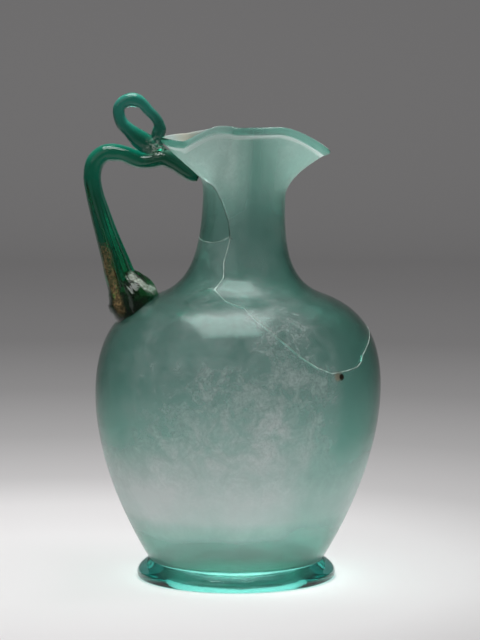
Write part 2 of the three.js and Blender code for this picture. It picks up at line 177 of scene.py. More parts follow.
def stretches(azimuth):
    """The outer outline at one azimuth, as cubic curves with the wall at both ends."""
    away = abs(from_spout(azimuth))
    centre = np.array((0, KICK_HEIGHT))
    base = np.array((BASE_RADIUS, BASE_HEIGHT))
    seam = np.array((SEAM_RADIUS, SEAM_HEIGHT))
    belly = np.array((BODY_RADIUS, BELLY_HEIGHT))
    shoulder = np.array((SHOULDER_RADIUS, SHOULDER_HEIGHT))
    neck = np.array((NECK_RADIUS, NECK_HEIGHT))
    rim = rim_at(azimuth)
    lower = belly[1] - seam[1]
    upper = shoulder[1] - belly[1]
    root = neck[1] - shoulder[1]
    rise = rim[1] - neck[1]
    lip_pull = eased(PULL_KEYS, away) * np.linalg.norm(rim - neck)
    heel_pull = (seam[1] - base[1]) * HEEL_ROUND
    up = np.array((0, 1))
    return (
        (centre, np.array((base[0] * KICK_PULL, centre[1])), np.array((base[0] * (1 - BASE_PULL), base[1])),
         base, BASE_WALL, BASE_EDGE_WALL),
        (base, np.array(((base[0] + seam[0]) / 2, base[1])), along(seam, HEEL_SLOPE, -heel_pull),
         seam, BASE_EDGE_WALL, HEEL_WALL),
        (seam, along(seam, HEEL_SLOPE, HEEL_PULL * lower), belly - up * BELLY_PULL_DOWN * lower,
         belly, HEEL_WALL, BODY_WALL),
        (belly, belly + up * BELLY_PULL_UP * upper,
         along(shoulder, -SHOULDER_SLOPE, SHOULDER_PULL_OUT * (belly[0] - shoulder[0])),
         shoulder, BODY_WALL, BODY_WALL),
        (shoulder, along(shoulder, -SHOULDER_SLOPE, -SHOULDER_PULL_IN * (shoulder[0] - neck[0])),
         neck - up * NECK_PULL_DOWN * root, neck, BODY_WALL, NECK_WALL),
        (neck, neck + up * NECK_PULL_UP * rise, along(rim, eased(SLOPE_KEYS, away), -lip_pull),
         rim, NECK_WALL, RIM_THICKNESS),
    )


def bezier(a, b, c, d, t):
    """Point and unit tangent of a cubic curve."""
    s = 1 - t
    p = a * s ** 3 + b * 3 * s * s * t + c * 3 * s * t * t + d * t ** 3
    v = (b - a) * s * s + (c - b) * 2 * s * t + (d - c) * t * t
    return p, v / np.linalg.norm(v)


def outline(azimuth):
    """Rows of radius, height, outward normal (2) and wall, from the base's centre to the rim."""
    rows = []
    for (a, b, c, d, wall_from, wall_to), steps in zip(stretches(azimuth), STRETCH_STEPS):
        for i in range(0 if not rows else 1, steps + 1):
            p, v = bezier(a, b, c, d, i / steps)
            rows.append((p[0], p[1], v[1], -v[0], lerp(wall_from, wall_to, i / steps)))
    rows = np.array(rows)
    rim = rows[-1, :2]
    for row in rows[-STRETCH_STEPS[-1]:]:
        below = math.dist(row[:2], rim)
        sunk = GROOVE_DEPTH * eased(((0, 0), (GROOVE_START, 0), (GROOVE_FROM, 1), (GROOVE_TO, 0)), below)
        row[:2] -= row[2:4] * sunk
        row[4] -= sunk
    return rows


AZIMUTHS = [2 * math.pi * j / COLUMNS for j in range(COLUMNS)]
OUTLINES = np.array([outline(a) for a in AZIMUTHS])
COS = np.cos(AZIMUTHS)
SIN = np.sin(AZIMUTHS)


def lean_at(height):
    return NECK_LEAN * (height / NECK_HEIGHT) ** 2


def place(radius, height, cos=COS, sin=SIN):
    """Points of the row frame for a radius and a height at each azimuth."""
    return np.stack((AXIS_X + lean_at(height) + radius * cos, radius * sin, height + 0 * radius), axis=-1)


def lip_rings(growth):
    last = OUTLINES[:, -1]
    rings = []
    for i in range(1, LIP_STEPS + 1):
        turn = math.pi * i / (LIP_STEPS + 1)
        radius = last[:, 4] / 2 + growth
        across = radius * math.cos(turn) - last[:, 4] / 2
        rise = radius * math.sin(turn)
        rings.append(place(
            last[:, 0] + last[:, 2] * across - last[:, 3] * rise,
            last[:, 1] + last[:, 3] * across + last[:, 2] * rise,
        ))
    return rings


def shell_rings(offset):
    """Rings of the outline moved along its normal, without its centre point. offset is in walls."""
    return [
        place(o[:, 0] + o[:, 2] * offset(o), o[:, 1] + o[:, 3] * offset(o))
        for o in (OUTLINES[:, i] for i in range(1, OUTLINES.shape[1]))
    ]


def skin(name, rings, ends=(), flipped=()):
    """A closed mesh object from rings of points, with one point closing each end."""
    count = len(rings[0])
    points = np.concatenate([np.asarray(r, dtype=float) for r in rings])
    if len(ends):
        points = np.concatenate((points, np.asarray(ends, dtype=float)))
    faces = []
    joins = len(rings) - 1 if len(ends) else len(rings)
    for i in range(joins):
        here = i * count
        there = (i + 1) % len(rings) * count
        for j in range(count):
            k = (j + 1) % count
            if j in flipped:
                faces += [(here + j, here + k, there + j), (here + k, there + k, there + j)]
            elif flipped:
                faces += [(here + j, here + k, there + k), (here + j, there + k, there + j)]
            else:
                faces.append((here + j, here + k, there + k, there + j))
    if len(ends):
        start = len(points) - 2
        last = (len(rings) - 1) * count
        for j in range(count):
            k = (j + 1) % count
            faces += [(start, k, j), (last + j, last + k, start + 1)]
    mesh = bpy.data.meshes.new(name)
    mesh.from_pydata([tuple(p) for p in points], [], faces)
    mesh.validate()
    made = bpy.data.objects.new(name, mesh)
    bpy.context.scene.collection.objects.link(made)
    return made


def centre_point(height):
    return (AXIS_X + lean_at(height), 0, height)


def vessel_wall():
    outside = shell_rings(lambda o: 0 * o[:, 4])
    inside = shell_rings(lambda o: -o[:, 4])
    rings = outside + lip_rings(0) + inside[::-1]
    return skin("wall", rings, [centre_point(KICK_HEIGHT), centre_point(KICK_HEIGHT + BASE_WALL)])


def filled_vessel(clearance):
    rings = shell_rings(lambda o: clearance + 0 * o[:, 4]) + lip_rings(clearance)
    return skin("filled", rings, [centre_point(KICK_HEIGHT - clearance), centre_point(BACK_HEIGHT)])


def foot_ring():
    """The spread collar, its seat following the underside of the body."""
    rows = OUTLINES[0][1:STRETCH_STEPS[0] + STRETCH_STEPS[1] + 1]
    seat = [r[:2] + r[2:4] * SEAT_GAP for r in rows]
    seat = [p for p in seat if p[0] > FOOT_INNER_RADIUS][::-1]
    rest = np.array((FOOT_RADIUS - FOOT_EDGE_ROUND, 0))
    edge = np.array((FOOT_RADIUS, FOOT_EDGE_HEIGHT))
    top = seat[0]
    spread = edge[0] - top[0]
    height = top[1] - edge[1]
    under = (rest, rest + (FOOT_EDGE_PULL * FOOT_EDGE_ROUND, 0), edge - (0, edge[1] * FOOT_EDGE_PULL), edge)
    over = (
        edge, edge + (0, FOOT_TOP_PULL_OUT * height),
        top + (FOOT_TOP_PULL_IN * spread, -FOOT_TOP_PULL_OUT * height), top,
    )
    section = [rest - (FOOT_REST_WIDTH * t, 0) for t in (1, 0.7, 0.3)]
    section += [bezier(*under, i / FOOT_STEPS)[0] for i in range(FOOT_STEPS + 1)]
    section += [bezier(*over, i / FOOT_STEPS)[0] for i in range(1, FOOT_STEPS + 1)]
    section += seat[1:]
    rings = [place(np.full(COLUMNS, r), np.full(COLUMNS, z)) for r, z in section]
    return skin("foot", rings)


def catmull(points, t):
    """A centripetal curve through the points, at 0 to 1 over all of them."""
    points = np.asarray(points, dtype=float)
    count = len(points) - 1
    at = min(int(t * count), count - 1)
    u = t * count - at
    p1, p2 = points[at], points[at + 1]
    p0 = points[at - 1] if at > 0 else 2 * p1 - p2
    p3 = points[at + 2] if at + 2 <= count else 2 * p2 - p1
    d2 = np.linalg.norm(p2 - p1) ** 0.5 or 1.0
    d1 = np.linalg.norm(p1 - p0) ** 0.5 or d2
    d3 = np.linalg.norm(p3 - p2) ** 0.5 or d2
    m1 = d2 * ((p1 - p0) / d1 - (p2 - p0) / (d1 + d2) + (p2 - p1) / d2)
    m2 = d2 * ((p2 - p1) / d2 - (p3 - p1) / (d2 + d3) + (p3 - p2) / d3)
    return (
        p1 * (2 * u ** 3 - 3 * u * u + 1) + m1 * (u ** 3 - 2 * u * u + u)
        + p2 * (3 * u * u - 2 * u ** 3) + m2 * (u ** 3 - u * u)
    )


# Grooves along a rod, as shares of their full depth by the angle from the rod's inner side
GROOVE_KEYS = ((0, 0), (22.5, 0.5), (45, 0), (67.5, 0.6), (90, 0), (112.5, 1), (145, 0), (180, 0))


def drawn_rod(name, points, steps, sides, start=0.0, end=1.0, growth=0.0):
    """A drawn rod of glass. Each point is x, z, half thickness, half breadth and groove depth."""
    path = [(p[0], p[1]) for p in points]
    shape = [p[2:5] for p in points]
    turns = 2 * np.pi * np.arange(sides) / sides
    grooves = np.array([eased(GROOVE_KEYS, abs(from_spout(turn))) for turn in turns])
    rings = []
    step = 0.5 / steps
    for i in range(steps + 1):
        t = lerp(start, end, i / steps)
        x, z = catmull(path, t)
        ahead = catmull(path, min(t + step, 1)) - catmull(path, max(t - step, 0))
        ahead = ahead / np.linalg.norm(ahead)
        half, breadth, depth = catmull(shape, t)
        groove = 1 - depth * grooves
        out = (half * MM + growth) * groove * np.cos(turns)
        rings.append(np.stack((
            AXIS_X + x * MM + ahead[1] * out, (breadth * MM + growth) * groove * np.sin(turns),
            z * MM - ahead[0] * out,
        ), axis=-1))
    return skin(name, rings, [rings[0].mean(axis=0), rings[-1].mean(axis=0)])


# Breaks in the wall: azimuth in degrees, and a share of the neck's height
SHOULDER_BREAK = (
    (-106, 0.906), (-111.5, 0.839), (-108.5, 0.801), (-113.5, 0.772), (-101, 0.748), (-88, 0.734),
    (-78, 0.689), (-70, 0.649), (-64, 0.616), (-57, 0.587), (-50, 0.569), (-41.5, 0.572),
    (-34.5, 0.577), (-30, 0.589), (-28, 0.604), (-22, 0.62), (-11, 0.642), (6, 0.662),
    (28, 0.681), (52, 0.71), (80, 0.736), (106, 0.763), (130, 0.806), (150, 0.858),
    (168, 0.89), (186, 0.896), (204, 0.889), (226, 0.886), (242, 0.892), (254, 0.906),
)
NECK_BREAK = (
    (-102.5, 0.897), (-106.8, 0.9), (-111, 0.944), (-121, 0.986), (-130, 1.014), (-138, 1.032),
    (-157, 1.055), (-180, 1.065), (-204, 1.05), (-218, 1.007), (-222, 0.959), (-214, 0.911),
    (-206, 0.839),
)
BREAK_DEPTH = 4 * MM
BREAK_STEPS = 6
# How often a search along a curve halves its range
HALVINGS = 30


def wall_at(azimuth, height):
    """Point and normal of the outer wall at an azimuth and a height."""
    for a, b, c, d, _, _ in stretches(azimuth)[2:]:
        if d[1] >= height:
            break
    low, high = 0.0, 1.0
    for _ in range(HALVINGS):
        middle = (low + high) / 2
        if bezier(a, b, c, d, middle)[0][1] < height:
            low = middle
        else:
            high = middle
    p, v = bezier(a, b, c, d, low)
    cos, sin = math.cos(azimuth), math.sin(azimuth)
    normal = np.array((v[1] * cos, v[1] * sin, -v[0]))
    return place(p[0], p[1], cos, sin), normal / np.linalg.norm(normal)


# The strap of the handle: out from the line between its seats, share of the rise between them,
# half thickness, half breadth and groove depth. Lengths are in millimetres.
STRAP_POINTS = (
    (7.3, -0.189, 10, 20, 0.05), (9.5, -0.13, 11.5, 21.5, 0.05), (11.1, -0.065, 13, 20, 0.06),
    (12.9, 0, 12.6, 17.5, 0.08), (15.7, 0.059, 10.3, 14.5, 0.14), (18.5, 0.117, 7.9, 12.3, 0.22),
    (20.9, 0.209, 7, 10.8, 0.26), (23.8, 0.313, 6.2, 9.6, 0.26), (26.8, 0.424, 5.5, 8.2, 0.22),
    (29.9, 0.548, 4.9, 7.2, 0.15), (32.6, 0.665, 4.4, 6.6, 0.1), (34, 0.776, 4.4, 6.3, 0.05),
    (32.5, 0.868, 4.6, 6.2, 0.03), (28.2, 0.92, 4.4, 6.2, 0.02), (22.9, 0.927, 4.4, 6.2, 0.02),
    (18.2, 0.918, 4.1, 6.2, 0.02), (13.7, 0.893, 4.35, 6.3, 0.02), (9.3, 0.874, 4.1, 6.4, 0.02),
    (4.8, 0.877, 4.2, 6.6, 0.02),
)
# Its tail: share of the rise from the neck to the rim, and how far off the wall
TAIL_POINTS = (
    (0.845, 5.3, 4.5, 7, 0.02), (0.69, 3.2, 4.1, 7, 0.02), (0.57, 2.75, 3.8, 6.8, 0.02),
    (0.45, 2.1, 3.5, 6.2, 0.02), (0.35, 0.6, 2, 4, 0.02),
)
# The thumb loop: out and up from the seat on the mouth
LOOP_POINTS = (
    (-3.6, -10, 2.2, 3.4, 0), (-0.9, -8, 4.6, 5.2, 0), (4.1, -3.8, 4.8, 5.2, 0), (7.4, -1.3, 5, 5.2, 0),
    (10.8, 1.1, 4.8, 5, 0), (13.6, 3.5, 4.1, 4.6, 0), (16.6, 6.2, 3.4, 4, 0), (19, 8.5, 3.25, 3.7, 0),
    (20.7, 12.1, 3, 3.5, 0), (21, 16.3, 3, 3.3, 0), (19.5, 18.8, 3.1, 3.3, 0), (17.1, 20.3, 3.3, 3.4, 0),
    (14.3, 20.8, 3.5, 3.5, 0), (11.2, 20, 3.3, 3.5, 0), (8.8, 18.3, 2.8, 3.4, 0), (6.3, 15.4, 2.7, 3.4, 0),
    (2.9, 11.9, 2.6, 3.4, 0), (1.1, 8.8, 2.7, 3.5, 0), (0.8, 5.9, 3.4, 3.8, 0), (1.6, 2.9, 3.4, 4, 0),
    (2.4, -2.7, 3.2, 3.8, 0),
)


def in_jug_millimetres(point):
    return (point[0] - AXIS_X) / MM, point[2] / MM


def handle_path():
    shoulder = in_jug_millimetres(wall_at(math.pi, SHOULDER_HEIGHT)[0])
    mouth = in_jug_millimetres(wall_at(math.pi, BACK_HEIGHT)[0])
    path = [
        (lerp(shoulder[0], mouth[0], share) - out, lerp(shoulder[1], mouth[1], share), *form)
        for out, share, *form in STRAP_POINTS
    ]
    for share, off, *form in TAIL_POINTS:
        point, normal = wall_at(math.pi, lerp(NECK_HEIGHT, BACK_HEIGHT, share))
        x, z = in_jug_millimetres(point)
        path.append((x + normal[0] * off, z + normal[2] * off, *form))
    return path


def loop_path():
    x, z = in_jug_millimetres(wall_at(math.pi, BACK_HEIGHT)[0])
    return [(x - out, z + up, *form) for out, up, *form in LOOP_POINTS]


def break_path(points):
    """Points and normals of the outer wall along a break, without its last point."""
    path = []
    for (a0, h0), (a1, h1) in zip(points, points[1:]):
        for i in range(BREAK_STEPS):
            t = i / BREAK_STEPS
            path.append(wall_at(math.radians(lerp(a0, a1, t)), lerp(h0, h1, t) * NECK_HEIGHT))
    return path


def break_blade(name, points, closed):
    """A thin blade that stands square to the wall along a break."""
    path = break_path(points)
    if not closed:
        path.append(wall_at(math.radians(points[-1][0]), points[-1][1] * NECK_HEIGHT))
    count = len(path)
    rings = []
    for i, (point, normal) in enumerate(path):
        before = path[(i - 1) % count if closed else max(i - 1, 0)][0]
        after = path[(i + 1) % count if closed else min(i + 1, count - 1)][0]
        side = np.cross(after - before, normal)
        side *= BREAK_GAP / 2 / np.linalg.norm(side)
        outer = point + normal * BREAK_DEPTH
        inner = point - normal * BREAK_DEPTH
        rings.append(np.array((outer - side, outer + side, inner + side, inner - side)))
    ends = [] if closed else [path[0][0], path[-1][0]]
    return skin(name, rings, ends, flipped=(3,))


def combine(target, other, operation):
    """Joins or cuts the target's mesh with the other object's, which is then deleted."""
    modifier = target.modifiers.new("combine", "BOOLEAN")
    modifier.operation = operation
    modifier.solver = "MANIFOLD"
    modifier.object = other
    evaluated = target.evaluated_get(bpy.context.evaluated_depsgraph_get())
    mesh = bpy.data.meshes.new_from_object(evaluated)
    target.modifiers.clear()
    old = target.data
    target.data = mesh
    bpy.data.meshes.remove(old)


def discard(*objects):
    for o in objects:
        mesh = o.data
        bpy.data.objects.remove(o)
        bpy.data.meshes.remove(mesh)


def islands(source, names):
    """The separate bodies of a mesh as objects, largest first, under the given names."""
    mesh = source.data
    parent = list(range(len(mesh.vertices)))

    def root(i):
        while parent[i] != i:
            parent[i] = parent[parent[i]]
            i = parent[i]
        return i

    for edge in mesh.edges:
        a, b = (root(i) for i in edge.vertices)
        if a != b:
            parent[a] = b
    groups = {}
    for polygon in mesh.polygons:
        groups.setdefault(root(polygon.vertices[0]), []).append(tuple(polygon.vertices))
    made = []
    for name, faces in zip(names, sorted(groups.values(), key=len, reverse=True)):
        used = sorted({i for f in faces for i in f})
        renumber = {i: n for n, i in enumerate(used)}
        piece = bpy.data.meshes.new(name)
        piece.from_pydata(
            [mesh.vertices[i].co[:] for i in used], [], [tuple(renumber[i] for i in f) for f in faces],
        )
        o = bpy.data.objects.new(name, piece)
        bpy.context.scene.collection.objects.link(o)
        made.append(o)
    discard(source)
    return made


def smooth(o):
    """Smooth shading, with sharp edges at the breaks and seams."""
    o.data.polygons.foreach_set("use_smooth", [True] * len(o.data.polygons))
    o.data.set_sharp_from_angle(angle=math.radians(SMOOTH_ANGLE))
    o.data.update()


# How hazy the glass is by height in millimetres, outside and inside, and how mottled
HAZE_OUTSIDE = (
    (0, 0.08), (14, 0.08), (22, 0.16), (30, 0.42), (38, 0.78), (48, 0.84), (62, 0.6), (80, 0.27),
    (100, 0.12), (125, 0.03), (150, 0.02), (186, 0.08), (200, 0.42), (224, 0.5),
)
HAZE_INSIDE = (
    (0, 0.1), (20, 0.15), (60, 0.15), (100, 0.05), (150, 0.02), (178, 0.1), (190, 0.55), (202, 0.9), (224, 1),
)
MOTTLE_OUTSIDE = (
    (0, 0.05), (40, 0.1), (60, 0.34), (80, 0.68),
    (105, 0.74), (130, 0.46), (150, 0.2), (185, 0.25), (224, 0.2),
)
# Their shares round the jug, in degrees from the front: low and halfway up the body, and on the mouth
# Low on the body the film is heaviest on the left front: weathering film, with a painted lighter side there
# for light from the left
AROUND_LOW = (
    (-180, 0.8), (-75, 1), (-45, 1.18), (0, 0.97),
    (20, 0.8), (35, 0.55), (50, 0.6), (75, 0.85), (180, 0.8),
)
AROUND_MIDDLE = (
    (-180, 0.5), (-75, 0.1), (-56, 0.2), (-38, 0.7), (-8, 1.05), (26, 1.3), (40, 0.6), (48, 0.08), (75, 0.02),
    (180, 0.5),
)
AROUND_MOUTH = (
    (-180, 0.6), (-60, 1.1), (-22, 1.2), (-4, 0.75), (14, 0.2), (32, 0.45), (52, 0.85), (90, 0.9), (180, 0.6),
)
LOW_TO_MIDDLE = ((0, 0), (55, 0), (82, 1), (300, 1))
MIDDLE_TO_MOUTH = ((0, 0), (150, 0), (180, 1), (300, 1))
# Up to here the outside of the wall faces down, and above it away from the axis
BASE_TOP = 20 * MM
# The clear, rounded roll of the rim, in millimetres below the rim
ROLL_KEYS = ((0, 0), (2.0, 0), (2.5, 1), (300, 1))
# A painted highlight: the pale line under the roll, painted into the film where the lip's underside catches
# the light
RIM_HIGHLIGHT_KEYS = ((0, 0), (2.2, 0), (2.8, 0.85), (3.6, 0.75), (4.6, 0), (300, 0))
# The neck fragment's share of the film that the other fragments have
FRAGMENT_FILM = 0.35


def weather(o, film=1.0):
    """Stores how hazy, how mottled and how satin the glass is at each vertex, with a painted highlight line
    under the rim's roll added to the haze.

    film is the share of the film that the piece has."""
    haze_and_rim_highlight = []
    mottle = []
    satin = []
    for vertex in o.data.vertices:
        x, y, z = vertex.co
        x -= AXIS_X + lean_at(z)
        azimuth = math.atan2(y, x)
        radius = math.hypot(x, y)
        if z > BASE_TOP:
            outside = vertex.normal.x * x + vertex.normal.y * y > 0
        else:
            outside = vertex.normal.z < 0
        height = z / MM
        from_front = from_spout(azimuth + math.pi / 2)
        low, middle = eased(AROUND_LOW, from_front), eased(AROUND_MIDDLE, from_front)
        around = lerp(low, middle, eased(LOW_TO_MIDDLE, height))
        around = lerp(around, eased(AROUND_MOUTH, from_front), eased(MIDDLE_TO_MOUTH, height))
        below_rim = math.dist((radius, z), rim_at(azimuth)) / MM
        roll = eased(ROLL_KEYS, below_rim)
        share = around * film * roll
        # Painted highlight: a pale line of milky film just under the roll, on the outside
        rim_highlight = eased(RIM_HIGHLIGHT_KEYS, below_rim) if outside else 0
        haze_and_rim_highlight.append(rim_highlight + share * eased(HAZE_OUTSIDE if outside else HAZE_INSIDE, height))
        mottle.append(share * eased(MOTTLE_OUTSIDE, height) if outside else 0)
        satin.append(roll if outside else 0)
    for name, values in (("haze_and_rim_highlight", haze_and_rim_highlight), ("mottle", mottle), ("satin", satin)):
        o.data.attributes.new(name, "FLOAT", "POINT").data.foreach_set("value", values)


class Nodes:
    """Short calls for building a node tree."""

    def __init__(self, tree):
        self.tree = tree
        tree.nodes.clear()

    def add(self, kind, sockets=None, **settings):
        node = self.tree.nodes.new(kind)
        for key, value in settings.items():
            setattr(node, key, value)
        for key, value in (sockets or {}).items():
            if isinstance(value, bpy.types.NodeSocket):
                self.tree.links.new(value, node.inputs[key])
            else:
                node.inputs[key].default_value = value
        return node

    def math(self, operation, a, b=0.0, clamp=False):
        node = self.add("ShaderNodeMath", {0: a, 1: b}, operation=operation, use_clamp=clamp)
        return node.outputs[0]

    def vector(self, operation, a, b):
        return self.add("ShaderNodeVectorMath", {0: a, 1: b}, operation=operation).outputs["Value"]

    def sway(self, ripple, amount):
        """A noise value as a shift to either side."""
        return self.math("MULTIPLY", self.math("SUBTRACT", ripple, 0.5), amount)

    def noise(self, vector, scale, detail=4.0, rough=0.6, distortion=0.0):
        node = self.add("ShaderNodeTexNoise", {
            "Vector": vector, "Scale": scale, "Detail": detail, "Roughness": rough, "Distortion": distortion,
        })
        return node.outputs["Fac"]

    def span(self, value, low, high, to_low=0.0, to_high=1.0):
        node = self.add("ShaderNodeMapRange", {
            "Value": value, "From Min": low, "From Max": high, "To Min": to_low, "To Max": to_high,
        }, interpolation_type="SMOOTHSTEP")
        return node.outputs["Result"]

    def mix(self, fac, a, b):
        node = self.add("ShaderNodeMix", data_type="RGBA")
        for socket, value in ((node.inputs[0], fac), (node.inputs[6], a), (node.inputs[7], b)):
            if isinstance(value, bpy.types.NodeSocket):
                self.tree.links.new(value, socket)
            else:
                socket.default_value = value
        return node.outputs[2]

    def near(self, vector, centre, radius, softness=0.5, ripple=None):
        """A soft spot round a point of the row frame: 1 inside the radius, 0 well outside."""
        away = self.vector("DISTANCE", vector, centre)
        if ripple is not None:
            away = self.math("ADD", away, self.sway(ripple, radius * 1.6))
        return self.span(away, radius * (1 - softness), radius * (1 + softness), 1, 0)

    def line(self, vector, start, end, width, ripple=None):
        """A soft stripe from one point (x, z) to another, seen from the side."""
        start, end = np.array(start), np.array(end)
        length = np.linalg.norm(end - start)
        u = (end - start) / length
        along_it = self.vector("DOT_PRODUCT", vector, (u[0], 0, u[1]))
        beside = self.vector("DOT_PRODUCT", vector, (-u[1], 0, u[0]))
        beside = self.math("SUBTRACT", beside, -u[1] * start[0] + u[0] * start[1])
        if ripple is not None:
            beside = self.math("ADD", beside, self.sway(ripple, width * 2.2))
        beside = self.math("ABSOLUTE", beside)
        first = float(u @ start)
        inside = self.span(along_it, first - 0.1 * length, first + 0.12 * length)
        before = self.span(along_it, first + 0.88 * length, first + 1.1 * length, 1, 0)
        across = self.span(beside, width * 0.4, width * 1.3, 1, 0)
        return self.math("MULTIPLY", across, self.math("MULTIPLY", inside, before))

    def shader(self, fac, a, b):
        node = self.add("ShaderNodeMixShader", {0: fac})
        self.tree.links.new(a, node.inputs[1])
        self.tree.links.new(b, node.inputs[2])
        return node.outputs[0]


def new_material(name):
    material = bpy.data.materials.new(name)
    material.use_nodes = True
    return material, Nodes(material.node_tree)


def lamps_pass(n, surface, tint):
    """Lets lamps through the glass, tinted, so that the hollow is lit."""
    path = n.add("ShaderNodeLightPath")
    through = n.add("ShaderNodeBsdfTransparent", {"Color": tint})
    return n.shader(path.outputs["Is Shadow Ray"], surface, through.outputs[0])


# Soil in the handle's outer groove, from its top to its foot (x, z), and a crust at its top end
SOIL_TOP = (AXIS_X - 0.0661, 0.1677)
SOIL_FOOT = (AXIS_X - 0.0572, 0.1349)
CRUSTS = (
    ((AXIS_X - 0.0405, -0.004, 0.217), 0.005, 0.35),
)
# The pale, rough upper edge of the claw (x, z)
CLAW_EDGE = ((AXIS_X - 0.0535, 0.1535), (AXIS_X - 0.0405, 0.1448))
# Spots on the wall: degrees from the spout and millimetres up, and their radii in metres
DEPOSIT_AT = (150, 217)
DEPOSIT_RADIUS = 8 * MM
RUST_AT = (-47, 107.4)
RUST_RADIUS = 2.2 * MM
STAIN_AT = (-45, 107.2)
STAIN_RADIUS = 1.4 * MM
# Painted light on the handle: its bend and the top of the thumb loop get untinted glass and the rest a greyer
# tint, standing for the top light that shines through them
BEND_LIGHT_SPOT = (AXIS_X - 0.062, 0, 0.208)
LOOP_LIGHT_SPOT = (AXIS_X - 0.051, 0, 0.238)
GLUE_RADIUS = 0.24 * MM
GLUE_SIDES = 8
# Painted highlight on the glue: how pale it is by millimetres up, along the shoulder break
SHOULDER_GLUE = (
    (0, 0.95), (112, 0.95), (118, 0.45), (145, 0.35), (148.5, 1), (151, 0.4), (153, 0.9), (167, 0.9),
    (169, 0.55), (300, 0.55),
)
# Where the glue is painted pale all along, as a painted highlight: by millimetres towards the spout
SPOUT_SIDE_GLUE = ((-300, 0), (38, 0), (50, 0.95), (300, 0.95))
# Painted highlight on the glue along the neck break, by millimetres up
NECK_GLUE = ((0, 0.1), (200, 0.1), (206, 0.6), (300, 0.6))


def on_wall(degrees, height):
    return tuple(float(v) for v in wall_at(math.radians(degrees), height * MM)[0])


def weathered_glass():
    """Blue-green glass under a thin, patchy, milky film, which also paints a highlight line under the rim."""
    material, n = new_material("weathered_glass")
    at = n.add("ShaderNodeTexCoord").outputs["Object"]
    height = n.add("ShaderNodeSeparateXYZ", {0: at}).outputs["Z"]
    haze_and_rim_highlight = n.add("ShaderNodeAttribute", attribute_name="haze_and_rim_highlight").outputs["Fac"]
    mottle = n.add("ShaderNodeAttribute", attribute_name="mottle").outputs["Fac"]
    satin = n.add("ShaderNodeAttribute", attribute_name="satin").outputs["Fac"]
    blotches = n.noise(at, 22, 3, 0.5, 0.3)
    cotton = n.noise(at, 105, 8, 0.74, 0.5)
    grain = n.noise(at, 520, 4, 0.75)
    patch = n.math("MULTIPLY", n.span(blotches, 0.26, 0.62, 0.35, 1), n.span(cotton, 0.32, 0.7))
    patch = n.math("MULTIPLY", patch, n.span(grain, 0.34, 0.64, 0.5, 1))
    # The haze attribute holds the film and also the painted highlight line under the rim
    smooth_part = n.math("MULTIPLY", haze_and_rim_highlight, n.span(blotches, 0.3, 0.7, 0.85, 1.12))
    film = n.math("ADD", smooth_part, n.math("MULTIPLY", patch, mottle), clamp=True)
    milk = n.mix(n.span(height, 0.12, 0.21), (0.83, 0.8, 0.82, 1), (0.78, 0.85, 0.83, 1))
    relief = n.math("ADD", cotton, n.math("MULTIPLY", grain, 0.4))
    bump = n.add("ShaderNodeBump", {"Height": relief, "Strength": 0.05, "Distance": 0.0002})
    rough = n.math("ADD", n.math("MULTIPLY", satin, 0.16), 0.04)
    glass = n.add("ShaderNodeBsdfPrincipled", {
        "Base Color": (1, 1, 1, 1), "Roughness": rough,
        "IOR": 1.4, "Transmission Weight": 1.0, "Normal": bump.outputs[0],
    })
    lit = n.add("ShaderNodeBsdfDiffuse", {"Color": milk})
    shone = n.add("ShaderNodeBsdfTranslucent", {"Color": milk})
    coat = n.shader(0.45, lit.outputs[0], shone.outputs[0])
    surface = n.shader(film, glass.outputs[0], coat)
    crust_colour = n.mix(cotton, (0.78, 0.76, 0.66, 1), (0.42, 0.37, 0.25, 1))
    crust = n.add("ShaderNodeBsdfDiffuse", {"Color": crust_colour})
    deposit = n.near(at, on_wall(*DEPOSIT_AT), DEPOSIT_RADIUS, 0.6, cotton)
    surface = n.shader(n.math("MULTIPLY", deposit, 0.75), surface, crust.outputs[0])
    rust = n.add("ShaderNodeBsdfDiffuse", {"Color": (0.4, 0.26, 0.16, 1)})
    rusted = n.near(at, on_wall(*RUST_AT), RUST_RADIUS, 0.6, cotton)
    surface = n.shader(n.math("MULTIPLY", rusted, 0.5), surface, rust.outputs[0])
    stain = n.add("ShaderNodeBsdfDiffuse", {"Color": (0.03, 0.022, 0.016, 1)})
    stained = n.near(at, on_wall(*STAIN_AT), STAIN_RADIUS, 0.3, cotton)
    surface = n.shader(stained, surface, stain.outputs[0])
    surface = lamps_pass(n, surface, (0.93, 0.97, 0.96, 1))
    volume = n.add("ShaderNodeVolumeAbsorption", {"Color": (0.06, 0.643, 0.529, 1), "Density": 350.0})
    n.add("ShaderNodeOutputMaterial", {"Surface": surface, "Volume": volume.outputs[0]})
    return material


def clear_glass(name, colour, density, tint):
    """Glossy glass coloured by its depth, with slight ripples."""
    material, n = new_material(name)
    at = n.add("ShaderNodeTexCoord").outputs["Object"]
    ripples = n.noise(at, 120, 3, 0.5)
    bump = n.add("ShaderNodeBump", {"Height": ripples, "Strength": 0.15, "Distance": 0.0006})
    glass = n.add("ShaderNodeBsdfPrincipled", {
        "Base Color": (0.92, 1, 0.97, 1), "Roughness": n.span(ripples, 0.3, 0.7, 0.02, 0.07),
        "IOR": 1.48, "Transmission Weight": 1.0, "Normal": bump.outputs[0],
    })
    surface = lamps_pass(n, glass.outputs[0], tint)
    volume = n.add("ShaderNodeVolumeAbsorption", {"Color": colour, "Density": density})
    n.add("ShaderNodeOutputMaterial", {"Surface": surface, "Volume": volume.outputs[0]})
    return material


